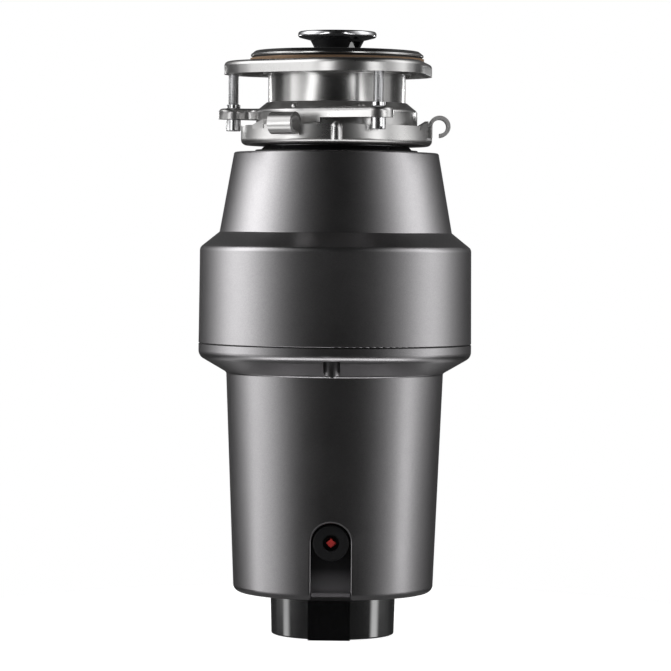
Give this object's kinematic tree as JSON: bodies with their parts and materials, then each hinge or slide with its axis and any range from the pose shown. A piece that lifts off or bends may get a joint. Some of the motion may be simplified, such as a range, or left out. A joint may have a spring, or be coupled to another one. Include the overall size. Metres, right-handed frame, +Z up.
{
  "type": "garbage disposal",
  "caption": "Under-sink food waste disposer: dark metallic housing, three-screw sink mount with lock ring, stopper, grind chamber, motor, rear outlet and reset button in a niche.",
  "frame": {"origin": "on the upright axis, at the bottom of the foot", "axes": "+Z up along the axis, -Y the front with the reset button, +Y the drain outlet, +X the right as seen from the front"},
  "size_m": [0.1772, 0.1917, 0.3911],
  "materials": {
    "chrome_rim": "polished stainless steel",
    "chrome_ring": "bright plated steel",
    "chrome_cap": "bright plating",
    "steel": "bare steel",
    "screw_steel": "zinc plated steel",
    "housing_paint": "dark grey metallic paint",
    "black_gloss": "glossy black plastic",
    "black_matte": "matte black plastic",
    "red_button": "red plastic",
    "black_rubber": "black rubber",
    "fibre": "tan pressed fibre",
    "foam": "grey moulded foam",
    "cast_alloy": "as cast",
    "copper": "lacquered copper wire",
    "bronze": "sintered bronze",
    "lamination": "stacked sheet steel",
    "capacitor": "pale plastic can",
    "terminal": "cream plastic",
    "brass_screw": "brass"
  },
  "bodies": {
    "disposer": {"sink_flange": "chrome_rim", "rim_gasket": "black_rubber", "mounting_ring": "chrome_ring", "snap_ring": "steel", "splash_guard": "black_rubber", "neck_cushion": "black_rubber", "upper_housing": "housing_paint", "top_plate": "housing_paint", "lower_housing": "housing_paint", "housing_seal": "black_rubber", "housing_screws": "screw_steel", "hopper": "steel", "sound_jacket": "foam", "shredder_ring": "steel", "drain_chamber": "cast_alloy", "chamber_screws": "screw_steel", "discharge_gasket": "black_rubber", "discharge_flange": "steel", "discharge_screws": "screw_steel", "shaft_seal": "black_rubber", "upper_bush": "bronze", "lower_bush": "bronze", "upper_end_frame": "cast_alloy", "lower_end_frame": "cast_alloy", "stator_core": "lamination", "stator_windings": "copper", "motor_bolts": "screw_steel", "switch_panel": "black_matte", "button_bezel": "black_gloss", "reset_spring": "screw_steel", "overload_protector": "black_matte", "base_cap": "black_gloss", "base_plate": "steel", "base_screws": "screw_steel", "cable_grommet": "black_rubber", "terminal_block": "terminal", "ground_screw": "brass_screw", "run_capacitor": "capacitor"},
    "rotor": {"shaft": "steel", "rotor_core": "lamination", "rotor_end_rings": "cast_alloy", "water_slinger": "black_rubber", "turntable": "steel", "turntable_nut": "screw_steel", "lug_rivets": "screw_steel"},
    "lug_a": {"lug_a": "steel"},
    "lug_b": {"lug_b": "steel"},
    "lock_ring": {"lock_ring": "chrome_ring"},
    "screw_left": {"mount_screw_left": "screw_steel", "screw_clip_left": "screw_steel"},
    "screw_front": {"mount_screw_front": "screw_steel", "screw_clip_front": "screw_steel"},
    "screw_rear": {"mount_screw_rear": "screw_steel", "screw_clip_rear": "screw_steel"},
    "backup_flange": {"backup_flange": "chrome_ring", "fibre_gasket": "fibre"},
    "stopper": {"stopper_cap": "chrome_cap", "stopper_stem": "black_gloss", "stopper_seal": "black_rubber"},
    "reset_button": {"reset_button": "red_button"}
  },
  "joints": [
    {"name": "turntable_spin", "type": "hinge", "parent": "disposer", "child": "rotor", "pos_m": [0, 0, 0.2], "axis": [0, 0, 1], "continuous": true},
    {"name": "lug_a_swing", "type": "hinge", "parent": "rotor", "child": "lug_a", "pos_m": [0.0378, 0, 0.2355], "axis": [0, 0, 1], "continuous": true},
    {"name": "lug_b_swing", "type": "hinge", "parent": "rotor", "child": "lug_b", "pos_m": [-0.0378, 0, 0.2355], "axis": [0, 0, 1], "continuous": true},
    {"name": "lock_ring_turn", "type": "hinge", "parent": "disposer", "child": "lock_ring", "pos_m": [0, 0, 0.323], "axis": [0, 0, 1], "range_deg": [-35, 0]},
    {"name": "mount_screw_left_turn", "type": "hinge", "parent": "disposer", "child": "screw_left", "pos_m": [-0.06744, 0.00697, 0.33], "axis": [0, 0, 1], "range_deg": [0, 5761]},
    {"name": "mount_screw_front_turn", "type": "hinge", "parent": "disposer", "child": "screw_front", "pos_m": [0.02768, -0.06189, 0.33], "axis": [0, 0, 1], "range_deg": [0, 5761]},
    {"name": "mount_screw_rear_turn", "type": "hinge", "parent": "disposer", "child": "screw_rear", "pos_m": [0.03976, 0.05492, 0.33], "axis": [0, 0, 1], "range_deg": [0, 5761]},
    {"name": "backup_flange_travel", "type": "slide", "parent": "disposer", "child": "backup_flange", "axis": [0, 0, 1], "range_m": [-0.016, 0]},
    {"name": "stopper_lift", "type": "slide", "parent": "disposer", "child": "stopper", "axis": [0, 0, 1], "range_m": [0, 0.08]},
    {"name": "reset_button_press", "type": "slide", "parent": "disposer", "child": "reset_button", "axis": [0, 1, 0], "range_m": [0, 0.002], "stiffness_N_per_m": 400, "deforming": ["reset_spring"]}
  ],
  "couplings": [
    {"joint": "mount_screw_left_turn", "follows": "backup_flange_travel", "rad_per_m": -6283.2},
    {"joint": "mount_screw_front_turn", "follows": "backup_flange_travel", "rad_per_m": -6283.2},
    {"joint": "mount_screw_rear_turn", "follows": "backup_flange_travel", "rad_per_m": -6283.2}
  ]
}
